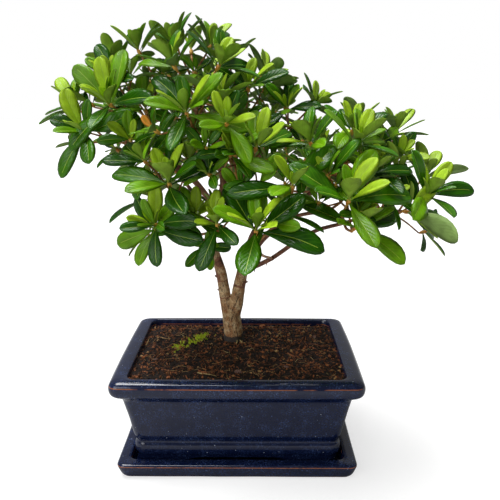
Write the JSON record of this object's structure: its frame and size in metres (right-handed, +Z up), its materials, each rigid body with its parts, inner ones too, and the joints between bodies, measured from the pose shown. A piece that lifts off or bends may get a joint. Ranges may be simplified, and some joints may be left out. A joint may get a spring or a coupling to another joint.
{
  "type": "potted azalea bonsai",
  "caption": "Small flowering-shrub bonsai with a forked trunk and an uneven leafy crown, planted in a rectangular glazed pot that stands in a drip saucer.",
  "frame": {"origin": "middle of the saucer's flat underside", "axes": "+Z up, +X to the right end of the pot, -Y to its front"},
  "size_m": [0.2597, 0.1978, 0.2725],
  "materials": {
    "pot_glaze": "dark navy glaze, glossy, fine pale flecks, breaking brown on the edges",
    "saucer_glaze": "the same dark navy glaze as the pot",
    "peat": "damp dark brown peat with bark crumbs, matte",
    "bark": "grey-brown fissured bark, matte",
    "leaf_green": "dark green leaves, upper side glossy, under side paler and matte"
  },
  "bodies": {
    "root": {"back_left_bough": "bark", "back_right_bough": "bark", "back_top_bough": "bark", "centre_front_bough": "bark", "crest_bough": "bark", "foliage_back_centre": "leaf_green", "foliage_back_crest": "leaf_green", "foliage_back_left": "leaf_green", "foliage_back_left_outer": "leaf_green", "foliage_back_right": "leaf_green", "foliage_back_right_outer": "leaf_green", "foliage_back_top": "leaf_green", "foliage_front_centre": "leaf_green", "foliage_front_middle": "leaf_green", "foliage_front_upper": "leaf_green", "foliage_front_upper_left": "leaf_green", "foliage_left_crest": "leaf_green", "foliage_left_front": "leaf_green", "foliage_left_inner": "leaf_green", "foliage_left_middle": "leaf_green", "foliage_left_middle_outer": "leaf_green", "foliage_left_shoulder": "leaf_green", "foliage_left_tip": "leaf_green", "foliage_low_front": "leaf_green", "foliage_low_front_left": "leaf_green", "foliage_low_left": "leaf_green", "foliage_low_left_inner": "leaf_green", "foliage_right_crest": "leaf_green", "foliage_right_droop": "leaf_green", "foliage_right_front": "leaf_green", "foliage_right_front_upper": "leaf_green", "foliage_right_inner": "leaf_green", "foliage_right_low_front": "leaf_green", "foliage_right_outer": "leaf_green", "foliage_right_shoulder": "leaf_green", "foliage_right_slope": "leaf_green", "foliage_right_tip": "leaf_green", "foliage_right_top": "leaf_green", "foliage_right_under": "leaf_green", "foliage_top": "leaf_green", "foliage_top_front": "leaf_green", "foliage_top_right": "leaf_green", "front_shoulder_bough": "bark", "leader": "bark", "left_bough": "bark", "left_outer_bough": "bark", "left_stem": "bark", "left_upper_bough": "bark", "low_left_bough": "bark", "middle_left_bough": "bark", "pot": "pot_glaze", "right_bough": "bark", "right_end_bough": "bark", "right_outer_bough": "bark", "right_stem": "bark", "saucer": "saucer_glaze", "shoulder_bough": "bark", "soil": "peat", "trunk": "bark", "upper_right_bough": "bark"}
  },
  "joints": []
}
